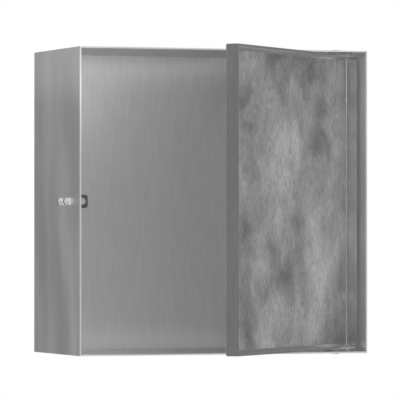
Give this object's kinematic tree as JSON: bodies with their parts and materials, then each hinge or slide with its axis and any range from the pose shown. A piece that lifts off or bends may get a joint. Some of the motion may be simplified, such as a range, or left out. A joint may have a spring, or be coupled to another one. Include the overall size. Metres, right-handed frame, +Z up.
{
  "type": "recessed wall cabinet",
  "caption": "Square recessed stainless steel wall cabinet with an inset tile-in tray door on hidden pivot hinges and a push latch.",
  "frame": {"origin": "centre of the flat back face", "axes": "+Z up, +Y into the wall along the back face's outward normal, -Y out of the front opening, +X towards the hinge side"},
  "size_m": [0.3048, 0.3396, 0.3022],
  "materials": {
    "brushed_sheet": "vertically brushed stainless steel",
    "door_sheet": "vertically brushed stainless steel",
    "fleece": "cloudy grey keying fleece",
    "dark_zinc": "dark zinc plated",
    "nickel_steel": "satin nickel",
    "zinc_fasteners": "bright zinc plated",
    "bush_plastic": "dark grey acetal",
    "latch_plastic": "dark grey plastic",
    "plunger_plastic": "dark grey plastic"
  },
  "bodies": {
    "cabinet": {"wrap_shell": "brushed_sheet", "top_panel": "brushed_sheet", "bottom_panel": "brushed_sheet", "hinge_plate_top": "dark_zinc", "hinge_plate_bottom": "dark_zinc", "hinge_pin_top": "nickel_steel", "hinge_pin_bottom": "nickel_steel", "hinge_screws": "zinc_fasteners", "hinge_nuts": "zinc_fasteners", "latch_housing": "latch_plastic", "latch_end_cap": "latch_plastic", "latch_spring": "nickel_steel", "latch_studs": "zinc_fasteners", "latch_nuts": "zinc_fasteners"},
    "door": {"door_tray": "door_sheet", "bonding_fleece": "fleece", "pivot_bushes": "bush_plastic", "strike_plate": "zinc_fasteners", "strike_rivets": "zinc_fasteners"},
    "latch_button": {"latch_plunger": "plunger_plastic", "latch_tip": "nickel_steel"}
  },
  "joints": [
    {"name": "door_hinge", "type": "hinge", "parent": "cabinet", "child": "door", "pos_m": [0.1356, -0.1347, 0], "axis": [0, 0, 1], "range_deg": [-45.5, 59.5]},
    {"name": "latch_push", "type": "slide", "parent": "cabinet", "child": "latch_button", "axis": [0, 1, 0], "range_m": [0, 0.002], "stiffness_N_per_m": 400, "springref_m": -0.004}
  ]
}
